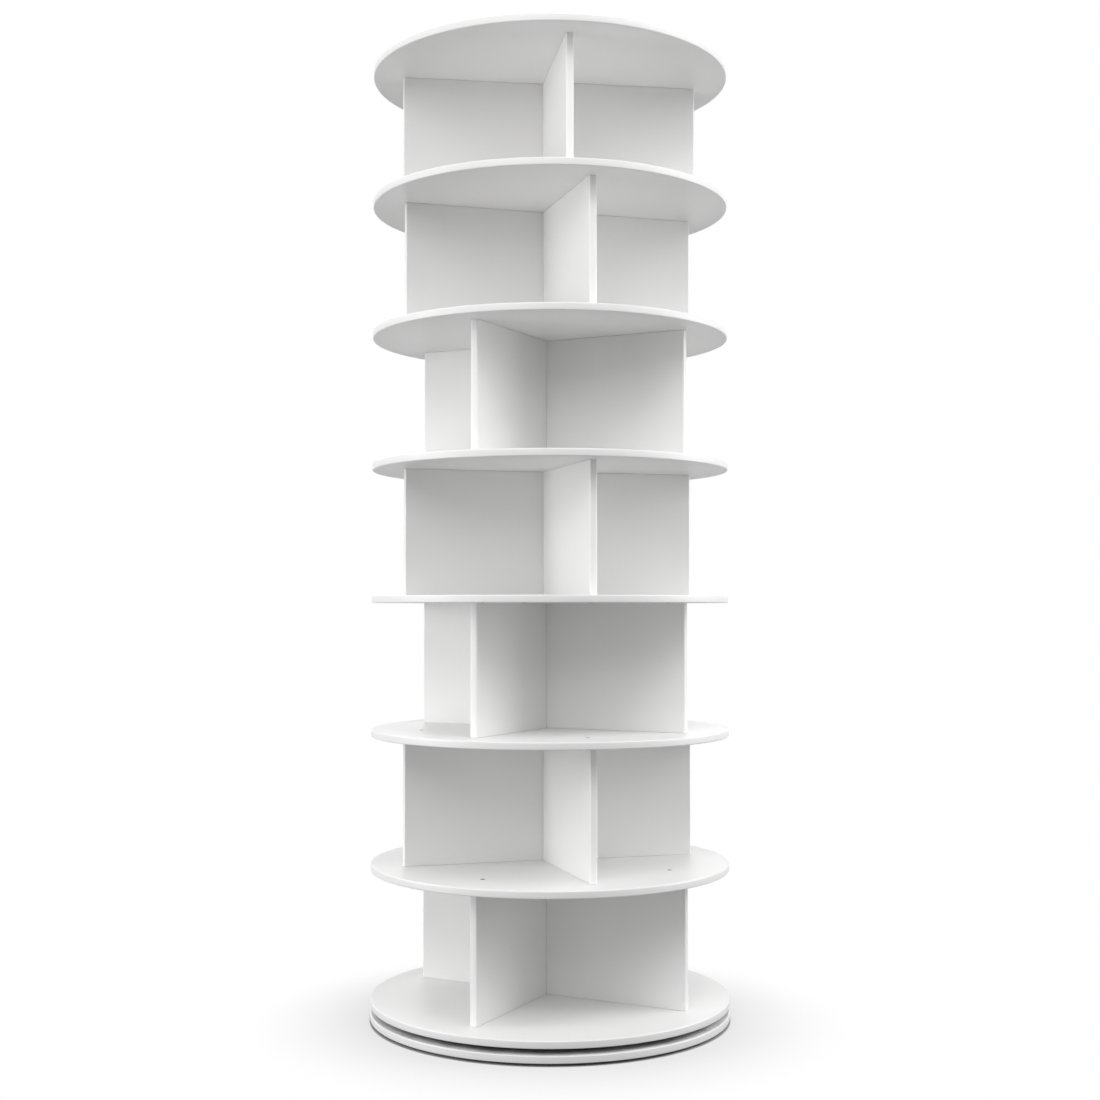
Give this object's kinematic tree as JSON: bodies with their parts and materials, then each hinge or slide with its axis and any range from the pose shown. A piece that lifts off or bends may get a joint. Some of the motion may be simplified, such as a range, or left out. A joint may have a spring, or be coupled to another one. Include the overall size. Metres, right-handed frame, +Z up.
{
  "type": "rotating shoe tower",
  "caption": "Tall round shoe tower: stacked round shelves with pinwheel dividers between them, turning together on a ball-bearing ring over a low round base.",
  "frame": {"origin": "on the floor, on the tower's axis of rotation, at the centre of the circle of feet", "axes": "+Z up along the axis of rotation, -Y towards the front, +X to the right seen from the front"},
  "size_m": [0.6, 0.6, 1.592],
  "materials": {
    "white_board": "particle board faced with white melamine, satin, with banded edges",
    "bearing_aluminium": "plain, turned",
    "cage_nylon": "natural nylon",
    "screw_steel": "bright zinc plating",
    "foot_rubber": "matt black"
  },
  "bodies": {
    "base": {"base_board": "white_board", "foot_1": "foot_rubber", "foot_2": "foot_rubber", "foot_3": "foot_rubber", "foot_4": "foot_rubber", "foot_5": "foot_rubber", "foot_6": "foot_rubber", "bearing_outer_ring": "bearing_aluminium", "base_screw_1": "screw_steel", "base_screw_2": "screw_steel", "base_screw_3": "screw_steel", "base_screw_4": "screw_steel"},
    "ball_cage": {"ball_cage": "cage_nylon"},
    "tower": {"disc_1": "white_board", "disc_2": "white_board", "disc_3": "white_board", "disc_4": "white_board", "disc_5": "white_board", "disc_6": "white_board", "disc_7": "white_board", "disc_8": "white_board", "divider_1_right": "white_board", "divider_1_back": "white_board", "divider_1_left": "white_board", "divider_1_front": "white_board", "divider_2_right": "white_board", "divider_2_back": "white_board", "divider_2_left": "white_board", "divider_2_front": "white_board", "divider_3_right": "white_board", "divider_3_back": "white_board", "divider_3_left": "white_board", "divider_3_front": "white_board", "divider_4_right": "white_board", "divider_4_back": "white_board", "divider_4_left": "white_board", "divider_4_front": "white_board", "divider_5_right": "white_board", "divider_5_back": "white_board", "divider_5_left": "white_board", "divider_5_front": "white_board", "divider_6_right": "white_board", "divider_6_back": "white_board", "divider_6_left": "white_board", "divider_6_front": "white_board", "divider_7_right": "white_board", "divider_7_back": "white_board", "divider_7_left": "white_board", "divider_7_front": "white_board", "bearing_inner_ring": "bearing_aluminium", "ring_screw_1": "screw_steel", "ring_screw_2": "screw_steel", "ring_screw_3": "screw_steel", "ring_screw_4": "screw_steel"}
  },
  "joints": [
    {"name": "tower_spin", "type": "hinge", "parent": "base", "child": "tower", "pos_m": [0, 0, 0.021], "axis": [0, 0, 1], "continuous": true},
    {"name": "cage_spin", "type": "hinge", "parent": "base", "child": "ball_cage", "pos_m": [0, 0, 0.021], "axis": [0, 0, 1], "continuous": true}
  ],
  "couplings": [
    {"joint": "cage_spin", "follows": "tower_spin", "ratio": 0.4904}
  ]
}
